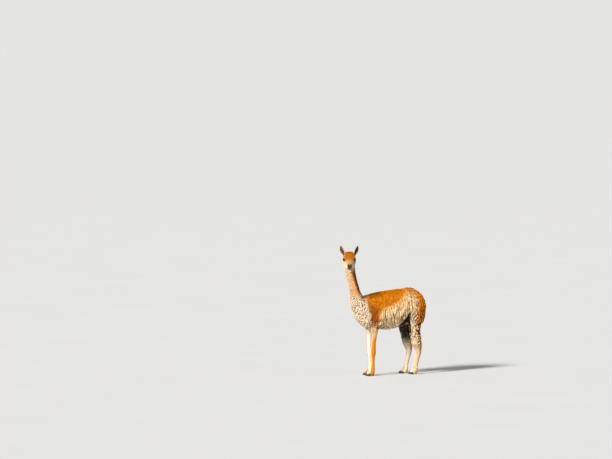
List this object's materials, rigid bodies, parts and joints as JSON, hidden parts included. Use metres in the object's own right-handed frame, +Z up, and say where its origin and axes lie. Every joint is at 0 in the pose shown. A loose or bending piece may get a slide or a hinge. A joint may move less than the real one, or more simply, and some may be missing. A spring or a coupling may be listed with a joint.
{
  "type": "vicuna",
  "caption": "Life-size standing vicuna with its head turned to its left, in its woolly coat, as a still museum model.",
  "frame": {"origin": "middle of the bounding box on the ground the feet stand on", "axes": "+Z up, the nose end of the trunk at -Y, the animal's left side at +X"},
  "size_m": [0.3786, 1.1084, 1.3644],
  "materials": {
    "fleece": "woolly fawn and cream coat",
    "face_coat": "short soft hair, tan brow and cream cheeks",
    "leg_coat": "short dense hair, tan outside and white inside",
    "eye": "wet dark brown",
    "horn": "dark toenail"
  },
  "bodies": {
    "root": {"ear_left": "face_coat", "ear_right": "face_coat", "eye_left": "eye", "eye_right": "eye", "foot_fore_left": "leg_coat", "foot_fore_right": "leg_coat", "foot_hind_left": "leg_coat", "foot_hind_right": "leg_coat", "head": "face_coat", "leg_fore_left_lower": "leg_coat", "leg_fore_left_upper": "leg_coat", "leg_fore_right_lower": "leg_coat", "leg_fore_right_upper": "leg_coat", "leg_hind_left_lower": "leg_coat", "leg_hind_left_upper": "leg_coat", "leg_hind_right_lower": "leg_coat", "leg_hind_right_upper": "leg_coat", "nail_fore_left_inner": "horn", "nail_fore_left_outer": "horn", "nail_fore_right_inner": "horn", "nail_fore_right_outer": "horn", "nail_hind_left_inner": "horn", "nail_hind_left_outer": "horn", "nail_hind_right_inner": "horn", "nail_hind_right_outer": "horn", "neck": "fleece", "tail": "fleece", "torso": "fleece"}
  },
  "joints": []
}
